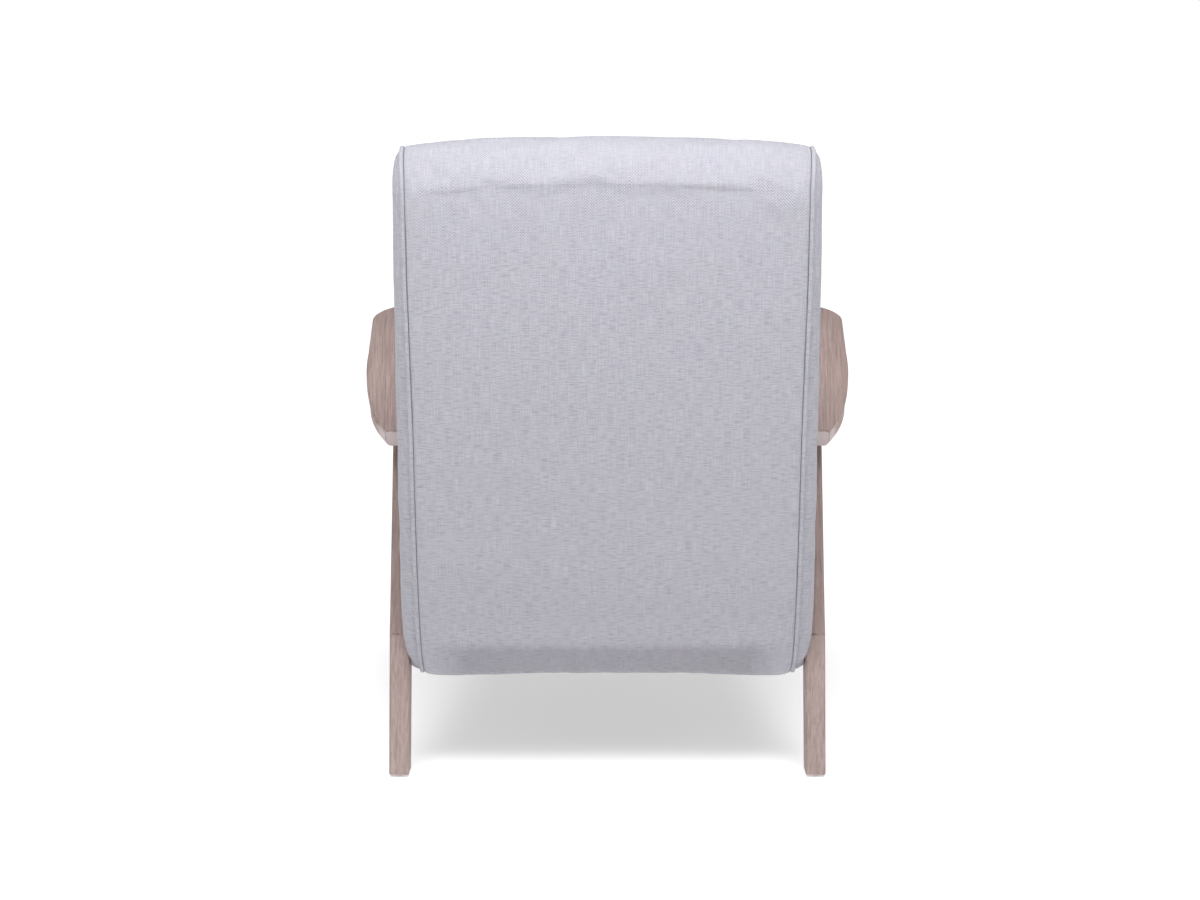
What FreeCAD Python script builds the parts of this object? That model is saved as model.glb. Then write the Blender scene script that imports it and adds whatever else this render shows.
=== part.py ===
"""Upholstered armchair in two wooden side frames. The chair faces -Y, +Z is up, its left side is +X."""
import FreeCAD, Part
import math
import os

import Sketcher

V = FreeCAD.Vector
LEFT_RIGHT = (("left", 1), ("right", -1))

# Bows of the curved outlines: how far the middle of a chord stands off it
TUCK_BOW = 2.5
HIP_BOW = 4.5
REAR_BOW = 3.5
WAIST_BOW = 3.2
FRONT_BOW = 6.0

# Outer edge of an arm: (distance forward of its rear end, distance out from its inner edge)
ARM_EDGE = ((48.0, 50.5), (130.0, 66.0), (235.0, 82.0), (360.0, 92.0), (452.0, 98.0))

# Rear end of the seat's side rails in the side view, from the heel up
RAIL_HEEL = ((306.0, 197.0), (326.5, 256.0), (327.5, 285.0))

# Where the dowels stand across an end: shares of its width
ARM_DOWEL_SHARES = (0.28, 0.72)
RAIL_DOWEL_SHARES = (0.3, 0.7)

DIMENSIONS = {
    # wooden side frames
    "leg_inner_face": 268.0,
    "leg_thick": 27.2,
    "glide_height": 2.0,
    "glide_radius": 9.0,
    "foot_depth": 36.0,
    "kink_depth": 44.0,
    "leg_top_depth": 50.0,
    "kink_height": 190.0,
    "rear_foot_back": 326.0,
    "rear_kink_back": 287.0,
    "rear_top_back": 194.0,
    "front_foot_front": -312.0,
    "front_kink_front": -284.0,
    "front_top_front": -216.0,
    "leg_edge_round": 4.0,
    "arm_slope": 10.1,
    "arm_rear": 242.0,
    "arm_rear_top": 461.0,
    "arm_reach": 617.0,
    "arm_thick": 25.0,
    "arm_inner_face": 268.5,
    "arm_nose_depth": 80.0,
    "arm_nose_centre": 312.0,
    "arm_nose_half": 60.0,
    "arm_rear_wide": 32.5,
    "arm_waist_inset": 10.0,
    "arm_waist_place": 330.0,
    "arm_waist_start": 200.0,
    "arm_belly_round": 15.0,
    "arm_top_round": 2.0,
    "side_rail_thick": 20.0,
    "side_rail_inset": 4.0,
    "side_rail_deep": 62.0,
    "side_rail_rear_low": 196.0,
    # upholstered body
    "face_half_width": 251.5,
    "side_board_inner": 252.0,
    "side_board_thick": 7.0,
    "side_pad_inner": 259.5,
    "side_pad_thick": 8.0,
    "skin_thick": 12.0,
    "piping_centre": 255.7,
    "piping_radius": 3.4,
    "underside_rear": 286.0,
    "underside_rear_low": 137.0,
    "tuck_back": 326.0,
    "tuck_height": 192.0,
    "hip_back": 351.0,
    "hip_height": 330.0,
    "roll_radius": 60.0,
    "roll_centre": 314.0,
    "roll_height": 800.0,
    "seat_rear": 178.0,
    "seat_rear_top": 364.0,
    "seat_front": -335.0,
    "seat_front_top": 402.0,
    "seat_nose_round": 28.0,
    "seat_crest_place": -70.0,
    "seat_crest_rise": 7.0,
    "seat_pad_deep": 68.0,
    "seat_pad_rear_low": 299.0,
    "waist_back": 352.4,
    "side_board_inset": 6.0,
    # inner frame
    "rail_outer": 251.0,
    "rail_thick": 25.0,
    "rail_lift": 6.0,
    "rail_heel_place": 272.0,
    "rail_top_drop": 76.0,
    "cross_rail_drop": 80.0,
    "rear_rail_front": 268.0,
    "rear_rail_front_low": 160.0,
    "rear_rail_back_low": 172.0,
    "rear_rail_top": 281.0,
    "post_foot": 286.0,
    "post_low": 262.0,
    "post_low_back": 327.0,
    "post_top_back": 357.0,
    "post_deep": 55.0,
    "post_top": 774.0,
    "top_rail_deep": 50.0,
    "top_rail_tall": 50.0,
    "cross_rail_thick": 22.0,
    "lumbar_rail_tall": 50.0,
    "lumbar_rail_low": 395.0,
    "lumbar_rail_setback": 34.0,
    "block_tall": 30.0,
    "rear_block_leg": 40.0,
    "front_block_leg": 34.0,
    "rear_block_low": 228.0,
    "front_block_low": 262.0,
    # suspension
    "spring_count": 5,
    "spring_bends": 14,
    "spring_wire": 1.8,
    "spring_half_width": 24.0,
    "spring_spacing": 84.0,
    "spring_rear": 276.0,
    "spring_rear_lift": 0.4,
    "spring_front_lift": 0.8,
    "strap_count": 5,
    "strap_width": 50.0,
    "strap_thick": 3.0,
    "strap_low": 360.0,
    "strap_spacing": 88.0,
    "clip_long": 18.0,
    "clip_wide": 14.0,
    "clip_tall": 3.0,
    "clip_lift": 0.6,
    # fasteners
    "rear_bolt_low": 214.0,
    "rear_bolt_high": 272.0,
    "rear_bolt_share": 0.55,
    "front_bolt_low": 262.0,
    "front_bolt_high": 300.0,
    "front_bolt_share": 0.6,
    "bolt_radius": 4.0,
    "bolt_head_radius": 7.0,
    "bolt_head_tall": 5.0,
    "washer_radius": 10.0,
    "washer_thick": 1.6,
    "insert_radius": 7.0,
    "insert_long": 20.0,
    "dowel_radius": 4.0,
    "dowel_half": 14.0,
    "cover_thick": 1.5,
    "cover_lift": 3.0,
    "gap": 0.5,
}


def make_sheet(doc):
    """Spreadsheet of plain numbers, one alias for each driving dimension."""
    sheet = doc.addObject("Spreadsheet::Sheet", "Dimensions")
    for row, (alias, value) in enumerate(DIMENSIONS.items(), start=1):
        sheet.set(f"A{row}", alias)
        sheet.set(f"B{row}", str(value))
        sheet.setAlias(f"B{row}", alias)
    doc.recompute()
    return sheet


class Chair:
    """The document, its sheet and the finished nodes, with the derived lines that pieces share."""

    def __init__(self):
        self.doc = FreeCAD.newDocument("Armchair")
        self.sheet = make_sheet(self.doc)
        self.nodes = []

    def size(self, alias):
        return float(self.sheet.get(alias))

    def add(self, piece, label):
        piece.Label = label
        self.nodes.append(piece)
        return piece

    # ---- shared lines in the side view: y forward-negative, z up -------------------------------
    def slope(self):
        return math.tan(math.radians(self.size("arm_slope")))

    def underside(self, y, lift=0.0):
        """Underside of the seat box, parallel to the arms."""
        rise = (self.size("underside_rear") - y) * self.slope()
        return self.size("underside_rear_low") + rise + lift

    def arm_top(self, y):
        return self.size("arm_rear_top") + (self.size("arm_rear") - y) * self.slope()

    def arm_under(self, y):
        drop = self.size("arm_thick") / math.cos(math.radians(self.size("arm_slope")))
        return self.arm_top(y) - drop

    def seat_top(self, y):
        rear, front = self.size("seat_rear"), self.size("seat_front")
        share = (rear - y) / (rear - front)
        low, high = self.size("seat_rear_top"), self.size("seat_front_top")
        return low + share * (high - low)

    def rear_curve(self, inset=0.0):
        """Arcs of the back's outer face from the underside to the roll, moved inward by inset."""
        under = (self.size("underside_rear"), self.size("underside_rear_low"))
        tuck = (self.size("tuck_back"), self.size("tuck_height"))
        hip = (self.size("hip_back"), self.size("hip_height"))
        crown = (self.size("roll_centre") + self.size("roll_radius"), self.size("roll_height"))
        spans = [(under, tuck, TUCK_BOW), (tuck, hip, HIP_BOW), (hip, crown, REAR_BOW)]
        points = [(under[0] - inset, under[1])]
        for start, end, bow in spans:
            mid = bowed(start, end, bow)
            points.append(((mid[0] - inset, mid[1]), (end[0] - inset, end[1])))
        return points

    def post_line(self, z, depth):
        """A line inside the back frame: depth 0 is the rear of the posts."""
        low, high = self.size("post_low"), self.size("post_top")
        low_back, high_back = self.size("post_low_back"), self.size("post_top_back")
        return low_back + (z - low) / (high - low) * (high_back - low_back) - depth

    def seat_crest(self, drop=0.0):
        """Highest point of the seat's upper curve."""
        y = self.size("seat_crest_place")
        return (y, self.seat_top(y) + self.size("seat_crest_rise") - drop)


def bowed(start, end, bow):
    """Midpoint of a chord moved by bow to the right of its direction."""
    dx, dy = end[0] - start[0], end[1] - start[1]
    length = math.hypot(dx, dy)
    return ((start[0] + end[0]) / 2 + bow * dy / length, (start[1] + end[1]) / 2 - bow * dx / length)


def reverse_path(path):
    """The same open path walked from its other end; arcs keep their middle points."""
    stops = [path[0]] + [step[1] if is_arc(step) else step for step in path[1:]]
    out = [stops[-1]]
    for index in range(len(path) - 1, 0, -1):
        step = path[index]
        out.append((step[0], stops[index - 1]) if is_arc(step) else stops[index - 1])
    return out


def is_arc(step):
    return isinstance(step[0], tuple)


def path_edges(path):
    """Part curves of a path: a point is a straight line to it, (middle, end) is an arc."""
    curves = []
    here = path[0]
    for step in path[1:]:
        if is_arc(step):
            middle, end = step
            curves.append(Part.Arc(V(*here, 0), V(*middle, 0), V(*end, 0)))
        else:
            end = step
            curves.append(Part.LineSegment(V(*here, 0), V(*end, 0)))
        here = end
    return curves


def close_path(path):
    end = path[-1][1] if is_arc(path[-1]) else path[-1]
    gap = math.hypot(end[0] - path[0][0], end[1] - path[0][1])
    return path if gap < 1e-6 else path + [path[0]]


def origin_plane(body, role):
    return next(f for f in body.Origin.OriginFeatures if f.Role == role)


def add_sketch(body, name, role, path, circles=()):
    """A closed outline and round holes on one of the body's own planes, each curve end tied."""
    sketch = body.newObject("Sketcher::SketchObject", name)
    sketch.AttachmentSupport = (origin_plane(body, role), "")
    sketch.MapMode = "FlatFace"
    curves = path_edges(close_path(path)) if path else []
    for curve in curves:
        sketch.addGeometry(curve, False)
    for index in range(len(curves)):
        sketch.addConstraint(Sketcher.Constraint("Block", index))
    for place, alias in circles:
        index = sketch.addGeometry(Part.Circle(V(*place, 0), V(0, 0, 1), 1.0), False)
        sketch.addConstraint(Sketcher.Constraint("DistanceX", index, 3, place[0]))
        sketch.addConstraint(Sketcher.Constraint("DistanceY", index, 3, place[1]))
        radius = sketch.addConstraint(Sketcher.Constraint("Radius", index, 1.0))
        sketch.setExpression(f"Constraints[{radius}]", f"Dimensions.{alias}")
    return sketch


def pad_body(chair, label, role, path, length, circles=(), reverse=False):
    """PartDesign body padded from one outline."""
    body = chair.doc.addObject("PartDesign::Body", label)
    sketch = add_sketch(body, f"{label}_outline", role, path, circles)
    pad = body.newObject("PartDesign::Pad", f"{label}_pad")
    pad.Profile = sketch
    pad.Reversed = reverse
    pad.setExpression("Length", length)
    sketch.Visibility = False
    chair.doc.recompute()
    return body


def side_body(chair, label, side, path, inner, length, circles=()):
    """Piece cut from board in the side view: local x = 0 is its inner face, padded outward."""
    body = pad_body(chair, label, "YZ_Plane", path, length, circles, reverse=side < 0)
    sign = "" if side > 0 else "-"
    body.setExpression("Placement.Base.x", f"{sign}({inner})")
    return body


def cross_body(chair, label, path, half_width):
    """Piece that crosses the chair: outline in the side view, padded from right to left."""
    body = pad_body(chair, label, "YZ_Plane", path, f"2 * ({half_width})")
    body.setExpression("Placement.Base.x", f"-({half_width})")
    return body


def pocket(chair, body, role, circles, depth, reverse):
    """Round blind holes; the volume must fall."""
    before = body.Shape.Volume
    sketch = add_sketch(body, f"{body.Name}_holes", role, None, circles)
    cut = body.newObject("PartDesign::Pocket", f"{body.Name}_pocket")
    cut.Profile = sketch
    cut.Reversed = reverse
    cut.setExpression("Length", depth)
    sketch.Visibility = False
    chair.doc.recompute()
    if body.Shape.Volume > before - 1.0:
        raise RuntimeError(f"{body.Name}: the pocket removed nothing")


def fillet(chair, body, alias, wanted):
    """Round the edges of the body's tip that pass the test."""
    tip = body.Tip
    names = [f"Edge{i}" for i, edge in enumerate(tip.Shape.Edges, start=1) if wanted(edge)]
    if not names:
        raise RuntimeError(f"{body.Name}: no edge to round")
    feature = body.newObject("PartDesign::Fillet", f"{body.Name}_{alias}")
    feature.Base = (tip, names)
    feature.setExpression("Radius", f"Dimensions.{alias}")
    chair.doc.recompute()


def cylinder(chair, name, radius, height, base, axis):
    """Part cylinder from base along axis, its sizes bound to the sheet."""
    piece = chair.doc.addObject("Part::Cylinder", name)
    piece.setExpression("Radius", radius)
    piece.setExpression("Height", height)
    piece.Placement = FreeCAD.Placement(V(*base), FreeCAD.Rotation(V(0, 0, 1), V(*axis)))
    return piece


def group(chair, label, pieces):
    """Several separate solids that share one node."""
    compound = chair.doc.addObject("Part::Compound", label)
    compound.Links = pieces
    chair.doc.recompute()
    return chair.add(compound, label)


def drilled(chair, body, label, tools):
    """The body with the bores that its fasteners fill."""
    cut = chair.doc.addObject("Part::Cut", f"{label}_drilled")
    cut.Base = body
    cut.Tool = tools
    chair.doc.recompute()
    return chair.add(cut, label)


# ---- wooden side frames --------------------------------------------------------------------------
def leg_outline(chair, foot, kink, top, facing):
    """Side view of a leg. facing +1: the given edge looks to the rear, -1: to the front."""
    low, mid = chair.size("glide_height"), chair.size("kink_height")
    widths = [chair.size(a) * facing for a in ("foot_depth", "kink_depth", "leg_top_depth")]
    outer = [(foot, low), (kink, mid), (top, chair.arm_under(top))]
    inner_top = top - widths[2]
    inner = [(inner_top, chair.arm_under(inner_top)), (kink - widths[1], mid), (foot - widths[0], low)]
    return outer + inner


def rear_outline(chair):
    return leg_outline(chair, *[chair.size(f"rear_{a}_back") for a in ("foot", "kink", "top")], 1)


def front_outline(chair):
    return leg_outline(chair, *[chair.size(f"front_{a}_front") for a in ("foot", "kink", "top")], -1)


def point_on_leg(outline, z, share):
    """Y inside a leg's upper part at height z: share 0 is its outer edge, 1 its inner edge."""
    def edge(low, high):
        return low[0] + (z - low[1]) / (high[1] - low[1]) * (high[0] - low[0])
    outer, inner = edge(outline[1], outline[2]), edge(outline[4], outline[3])
    return outer + share * (inner - outer)


def bolt_places(chair):
    """Side-view places of the bolts that hold a side frame to the seat frame."""
    rear, front = rear_outline(chair), front_outline(chair)
    places = []
    for end, outline in (("rear", rear), ("front", front)):
        share = chair.size(f"{end}_bolt_share")
        for level in ("low", "high"):
            z = chair.size(f"{end}_bolt_{level}")
            places.append((point_on_leg(outline, z, share), z))
    return places


def make_leg(chair, end, name, side, dowels):
    outline = rear_outline(chair) if end == "rear" else front_outline(chair)
    label = f"{end}_leg_{name}"
    body = side_body(chair, f"{label}_blank", side, outline, "Dimensions.leg_inner_face",
                     "Dimensions.leg_thick")
    places = bolt_places(chair)[:2] if end == "rear" else bolt_places(chair)[2:]
    circles = [(place, "insert_radius") for place in places]
    pocket(chair, body, "YZ_Plane", circles, "Dimensions.insert_long", reverse=side > 0)
    foot_level = chair.size("glide_height") + chair.size("gap")
    long_edge = chair.size("kink_height") / 2

    def corner_edge(edge):
        box = edge.BoundBox
        upright = box.ZLength > long_edge and box.XLength < 0.01
        return upright or box.ZMax < foot_level

    fillet(chair, body, "leg_edge_round", corner_edge)
    return drilled(chair, body, label, dowels)


def arm_outline(chair, side):
    """Plan of an arm in its own plane: x outward, y = 0 at the rear end and negative forward."""
    cosine = math.cos(math.radians(chair.size("arm_slope")))
    reach = chair.size("arm_reach")
    shoulder = reach - chair.size("arm_nose_depth")
    centre, half = chair.size("arm_nose_centre"), chair.size("arm_nose_half")
    inner = chair.size("arm_inner_face")
    waist = inner - chair.size("arm_waist_inset")

    def at(x, forward):
        return (side * x, -forward / cosine)

    def edge(index):
        forward, out = ARM_EDGE[index]
        return at(inner + out, forward)

    def nose(turn):
        angle = math.radians(turn)
        return at(centre + half * math.cos(angle), shoulder + chair.size("arm_nose_depth") * math.sin(angle))

    return [
        at(inner, 0), at(inner + chair.size("arm_rear_wide"), 0),
        (edge(0), edge(1)), (edge(2), edge(3)), (edge(4), at(centre + half, shoulder)),
        (nose(22), nose(45)), (nose(67), nose(90)), (nose(113), nose(135)), (nose(158), nose(180)),
        (at(waist, chair.size("arm_waist_place")), at(inner, chair.size("arm_waist_start"))),
    ]


def make_arm(chair, name, side, dowels):
    """A flat board with a rounded nose, a rounded belly below and a tilt that rises to the front."""
    label = f"arm_{name}"
    body = pad_body(chair, f"{label}_blank", "XY_Plane", arm_outline(chair, side),
                    "Dimensions.arm_thick", reverse=True)
    body.Placement.Rotation = FreeCAD.Rotation(V(1, 0, 0), -chair.size("arm_slope"))
    body.setExpression("Placement.Base.y", "Dimensions.arm_rear")
    body.setExpression("Placement.Base.z", "Dimensions.arm_rear_top")
    chair.doc.recompute()
    inner = chair.size("arm_inner_face")
    thick = chair.size("arm_thick")

    def face_edge(edge, depth):
        if edge.Degenerated or edge.Length < 0.5:
            return False
        points = edge.discretize(5)
        flat = all(abs(p.z + depth) < 0.05 for p in points)
        beside_back = all(abs(abs(p.x) - inner) < 0.6 for p in points)
        return flat and not beside_back

    fillet(chair, body, "arm_belly_round", lambda edge: face_edge(edge, thick))
    fillet(chair, body, "arm_top_round", lambda edge: face_edge(edge, 0.0))
    return drilled(chair, body, label, dowels)


def side_rail_outline(chair):
    """Lower rail of a side frame: its ends lie on the legs' inner edges, its edges follow the arm."""
    rear, front = rear_outline(chair), front_outline(chair)
    low = chair.size("side_rail_rear_low")
    high = low + chair.size("side_rail_deep")
    slope = chair.slope()

    def meet(outline, z_rear, y_rear):
        (top_y, top_z), (kink_y, kink_z) = outline[3], outline[4]
        lean = (top_y - kink_y) / (top_z - kink_z)
        z = (z_rear + slope * (y_rear - kink_y + lean * kink_z)) / (1 + slope * lean)
        return (kink_y + lean * (z - kink_z), z)

    y_low = point_on_leg(rear, low, 1.0)
    y_high = point_on_leg(rear, high, 1.0)
    return [(y_low, low), (y_high, high), meet(front, high, y_high), meet(front, low, y_low)]


def make_side_rail(chair, name, side, dowels):
    label = f"side_rail_{name}"
    body = side_body(chair, f"{label}_blank", side, side_rail_outline(chair),
                     "Dimensions.leg_inner_face + Dimensions.side_rail_inset",
                     "Dimensions.side_rail_thick")
    return drilled(chair, body, label, dowels)


def make_arm_dowels(chair):
    """Two upright dowels in the top of each leg."""
    pieces = []
    middle = chair.size("leg_inner_face") + chair.size("leg_thick") / 2
    half = chair.size("dowel_half")
    for name, side in LEFT_RIGHT:
        for end, outline in (("rear", rear_outline(chair)), ("front", front_outline(chair))):
            for index, share in enumerate(ARM_DOWEL_SHARES):
                y = outline[2][0] + share * (outline[3][0] - outline[2][0])
                base = (side * middle, y, chair.arm_under(y) - half)
                pieces.append(cylinder(chair, f"arm_dowel_{end}_{name}_{index}", "Dimensions.dowel_radius",
                                       "2 * Dimensions.dowel_half", base, (0, 0, 1)))
    return group(chair, "arm_dowels", pieces)


def make_rail_dowels(chair):
    """Two level dowels in each end of the side rails."""
    pieces = []
    outline = side_rail_outline(chair)
    middle = chair.size("leg_inner_face") + chair.size("side_rail_inset") + chair.size("side_rail_thick") / 2
    half = chair.size("dowel_half")
    for name, side in LEFT_RIGHT:
        for end, low, high in (("rear", outline[0], outline[1]), ("front", outline[3], outline[2])):
            for index, share in enumerate(RAIL_DOWEL_SHARES):
                y = low[0] + share * (high[0] - low[0])
                z = low[1] + share * (high[1] - low[1])
                pieces.append(cylinder(chair, f"rail_dowel_{end}_{name}_{index}", "Dimensions.dowel_radius",
                                       "2 * Dimensions.dowel_half", (side * middle, y - half, z), (0, 1, 0)))
    return group(chair, "rail_dowels", pieces)


def make_glides(chair):
    pieces = []
    middle = chair.size("leg_inner_face") + chair.size("leg_thick") / 2
    half_foot = chair.size("foot_depth") / 2
    rows = (("rear", chair.size("rear_foot_back") - half_foot),
            ("front", chair.size("front_foot_front") + half_foot))
    for name, side in LEFT_RIGHT:
        for end, y in rows:
            pieces.append(cylinder(chair, f"glide_{end}_{name}", "Dimensions.glide_radius",
                                   "Dimensions.glide_height", (side * middle, y, 0), (0, 0, 1)))
    return group(chair, "foot_glides", pieces)


# ---- fasteners between the side frames and the seat frame ----------------------------------------
def make_bolts(chair):
    """Bolt, washer and threaded insert at each place; the bolts are set from inside the seat frame."""
    bolts, washers, inserts = [], [], []
    inner = chair.size("rail_outer") - chair.size("rail_thick")
    washer = chair.size("washer_thick")
    leg = chair.size("leg_inner_face")
    shank = ("Dimensions.leg_inner_face - Dimensions.rail_outer + Dimensions.rail_thick"
             " + Dimensions.insert_long")
    for name, side in LEFT_RIGHT:
        out = (side, 0, 0)
        for index, (y, z) in enumerate(bolt_places(chair)):
            tag = f"{name}_{index}"
            head_x = side * (inner - washer - chair.size("bolt_head_tall"))
            head = cylinder(chair, f"bolt_head_{tag}", "Dimensions.bolt_head_radius",
                            "Dimensions.bolt_head_tall", (head_x, y, z), out)
            stem = cylinder(chair, f"bolt_stem_{tag}", "Dimensions.bolt_radius",
                            shank, (side * (inner - washer), y, z), out)
            bolt = chair.doc.addObject("Part::Fuse", f"bolt_{tag}")
            bolt.Base, bolt.Tool = head, stem
            bolts.append(bolt)
            washers.append(ring(chair, f"washer_{tag}", "Dimensions.washer_radius", "Dimensions.washer_thick",
                                (side * (inner - washer), y, z), out))
            inserts.append(ring(chair, f"insert_{tag}", "Dimensions.insert_radius", "Dimensions.insert_long",
                                (side * leg, y, z), out))
    group(chair, "frame_bolts", bolts)
    group(chair, "bolt_washers", washers)
    group(chair, "threaded_inserts", inserts)


def ring(chair, name, radius, height, base, axis):
    """A cylinder with a bore that the bolt fills."""
    outside = cylinder(chair, f"{name}_outside", radius, height, base, axis)
    bore = cylinder(chair, f"{name}_bore", "Dimensions.bolt_radius", height, base, axis)
    cut = chair.doc.addObject("Part::Cut", name)
    cut.Base, cut.Tool = outside, bore
    return cut


# ---- inner frame ---------------------------------------------------------------------------------
def seat_rail_outline(chair):
    """Board on each side of the seat: its lower edge follows the underside, its upper the seat."""
    front = chair.size("seat_front") + chair.size("skin_thick") + chair.size("gap")
    heel, lift = chair.size("rail_heel_place"), chair.size("rail_lift")
    lower = [(front, chair.underside(front, lift)), (heel, chair.underside(heel, lift))]
    return lower + list(RAIL_HEEL) + [(front, chair.seat_top(front) - chair.size("rail_top_drop"))]


def make_seat_frame(chair):
    bolt_bores = [(place, "bolt_radius") for place in bolt_places(chair)]
    inner = "Dimensions.rail_outer - Dimensions.rail_thick"
    for name, side in LEFT_RIGHT:
        body = side_body(chair, f"seat_side_rail_{name}", side, seat_rail_outline(chair), inner,
                         "Dimensions.rail_thick", bolt_bores)
        chair.add(body, f"seat_side_rail_{name}")
    thick = chair.size("cross_rail_thick")
    front = seat_rail_outline(chair)[0][0]
    lift, top = chair.size("rail_lift"), chair.seat_top(front) - chair.size("cross_rail_drop")
    path = [(front, chair.underside(front, lift)), (front + thick, chair.underside(front + thick, lift)),
            (front + thick, top), (front, top)]
    chair.add(cross_body(chair, "seat_front_rail", path, inner), "seat_front_rail")
    rear, top = chair.size("rear_rail_front"), chair.size("rear_rail_top")
    path = [(rear, chair.size("rear_rail_front_low")), (rear + thick, chair.size("rear_rail_back_low")),
            (rear + thick, top), (rear, top)]
    chair.add(cross_body(chair, "seat_rear_rail", path, inner), "seat_rear_rail")
    make_corner_blocks(chair, front + thick, rear)


def make_corner_blocks(chair, front, rear):
    """Four triangular blocks glued into the corners of the seat frame."""
    blocks = []
    edge = chair.size("rail_outer") - chair.size("rail_thick")
    for name, side in LEFT_RIGHT:
        for end, y, way in (("front", front, 1), ("rear", rear, -1)):
            leg = chair.size(f"{end}_block_leg")
            path = [(side * edge, y), (side * (edge - leg), y), (side * edge, y + way * leg)]
            body = pad_body(chair, f"corner_block_{end}_{name}", "XY_Plane", path, "Dimensions.block_tall")
            body.setExpression("Placement.Base.z", f"Dimensions.{end}_block_low")
            blocks.append(body)
    group(chair, "corner_blocks", blocks)


def make_back_frame(chair):
    """Posts that stand on the seat rails, a rounded top rail and a rail behind the lumbar."""
    deep, top = chair.size("post_deep"), chair.size("post_top")
    foot = chair.size("post_foot")
    path = [(chair.post_line(foot, deep), foot), (chair.post_line(foot, 0), foot),
            (chair.post_line(top, 0), top), (chair.post_line(top, deep), top)]
    inner = "Dimensions.rail_outer - Dimensions.rail_thick"
    for name, side in LEFT_RIGHT:
        body = side_body(chair, f"back_post_{name}", side, path, inner, "Dimensions.rail_thick")
        chair.add(body, f"back_post_{name}")
    rail = chair.doc.addObject("Part::Box", "back_top_rail")
    rail.setExpression("Length", "2 * Dimensions.rail_outer")
    rail.setExpression("Width", "Dimensions.top_rail_deep")
    rail.setExpression("Height", "Dimensions.top_rail_tall")
    rail.setExpression("Placement.Base.x", "-Dimensions.rail_outer")
    rail.setExpression("Placement.Base.y", "Dimensions.roll_centre - Dimensions.top_rail_deep / 2")
    rail.setExpression("Placement.Base.z", "Dimensions.post_top")
    chair.add(rail, "back_top_rail")
    lumbar = chair.doc.addObject("Part::Box", "back_lumbar_rail")
    lumbar.setExpression("Length", "2 * (Dimensions.rail_outer - Dimensions.rail_thick)")
    lumbar.setExpression("Width", "Dimensions.cross_rail_thick")
    lumbar.setExpression("Height", "Dimensions.lumbar_rail_tall")
    lumbar.setExpression("Placement.Base.x", "Dimensions.rail_thick - Dimensions.rail_outer")
    lumbar.setExpression("Placement.Base.z", "Dimensions.lumbar_rail_low")
    low, setback = chair.size("lumbar_rail_low"), chair.size("lumbar_rail_setback")
    lumbar.Placement.Base.y = chair.post_line(low, setback)
    chair.add(lumbar, "back_lumbar_rail")


# ---- suspension ----------------------------------------------------------------------------------
def make_springs(chair):
    """Wavy wire springs from the rear rail to the front rail, and the clips that hold their ends."""
    wire, half = chair.size("spring_wire"), chair.size("spring_half_width")
    bends = int(chair.size("spring_bends"))
    rear = chair.size("spring_rear")
    front = seat_rail_outline(chair)[0][0] + chair.size("cross_rail_thick") / 2
    rear_z = chair.size("rear_rail_top") + wire + chair.size("spring_rear_lift")
    front_z = chair.seat_top(front) - chair.size("cross_rail_drop") + wire + chair.size("spring_front_lift")
    length = math.hypot(rear - front, front_z - rear_z)
    pitch = length / (bends + 1)
    tilt = math.degrees(math.atan2(front_z - rear_z, rear - front))
    springs, clips = [], []
    count = int(chair.size("spring_count"))
    for index in range(count):
        x = (index - (count - 1) / 2) * chair.size("spring_spacing")
        place = FreeCAD.Placement(V(x, rear, rear_z), FreeCAD.Rotation(V(1, 0, 0), -tilt))
        spring = chair.doc.addObject("Part::Feature", f"seat_spring_{index}")
        spring.Shape = spring_shape(bends, pitch, half, wire)
        spring.Placement = place
        springs.append(spring)
        for end, y, z in (("rear", rear, rear_z), ("front", front, front_z)):
            clip = chair.doc.addObject("Part::Box", f"spring_clip_{end}_{index}")
            clip.setExpression("Length", "Dimensions.clip_wide")
            clip.setExpression("Width", "Dimensions.clip_long")
            clip.setExpression("Height", "Dimensions.clip_tall")
            clip.Placement.Base = V(x - chair.size("clip_wide") / 2, y - chair.size("clip_long") / 2,
                                    z + wire + chair.size("clip_lift"))
            clips.append(clip)
    group(chair, "seat_springs", springs)
    group(chair, "spring_clips", clips)


def spring_shape(bends, pitch, half, wire):
    """Straight cross runs joined by half circles, swept with a round wire."""
    bend = pitch / 2
    run = half - bend
    edges = []
    y = -bend
    side = 1
    start = V(-side * run, y, 0)
    for index in range(bends):
        end = V(side * run, y, 0)
        edges.append(Part.makeLine(start, end))
        if index < bends - 1:
            turn = V(side * (run + bend), y - bend, 0)
            after = V(side * run, y - pitch, 0)
            edges.append(Part.Arc(end, turn, after).toShape())
            start = after
            y -= pitch
            side = -side
    path = Part.Wire(edges)
    first = edges[0].Vertexes[0].Point
    along = edges[0].tangentAt(edges[0].FirstParameter)
    section = Part.Wire(Part.makeCircle(wire, first, along))
    return path.makePipeShell([section], True, True)


def make_webbing(chair):
    """Level straps across the front of the back posts."""
    straps = []
    half = chair.size("rail_outer")
    thick = chair.size("strap_thick")
    deep = chair.size("post_deep") + chair.size("gap")
    low, high = chair.size("post_low"), chair.size("post_top")
    lean = math.degrees(math.atan2(chair.post_line(high, 0) - chair.post_line(low, 0), high - low))
    for index in range(int(chair.size("strap_count"))):
        z = chair.size("strap_low") + index * chair.size("strap_spacing")
        strap = chair.doc.addObject("Part::Box", f"strap_{index}")
        strap.setExpression("Length", "2 * Dimensions.rail_outer")
        strap.setExpression("Width", "Dimensions.strap_thick")
        strap.setExpression("Height", "Dimensions.strap_width")
        rotation = FreeCAD.Rotation(V(1, 0, 0), -lean)
        strap.Placement = FreeCAD.Placement(V(-half, chair.post_line(z, deep) - thick, z), rotation)
        straps.append(strap)
    group(chair, "back_webbing", straps)


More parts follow.
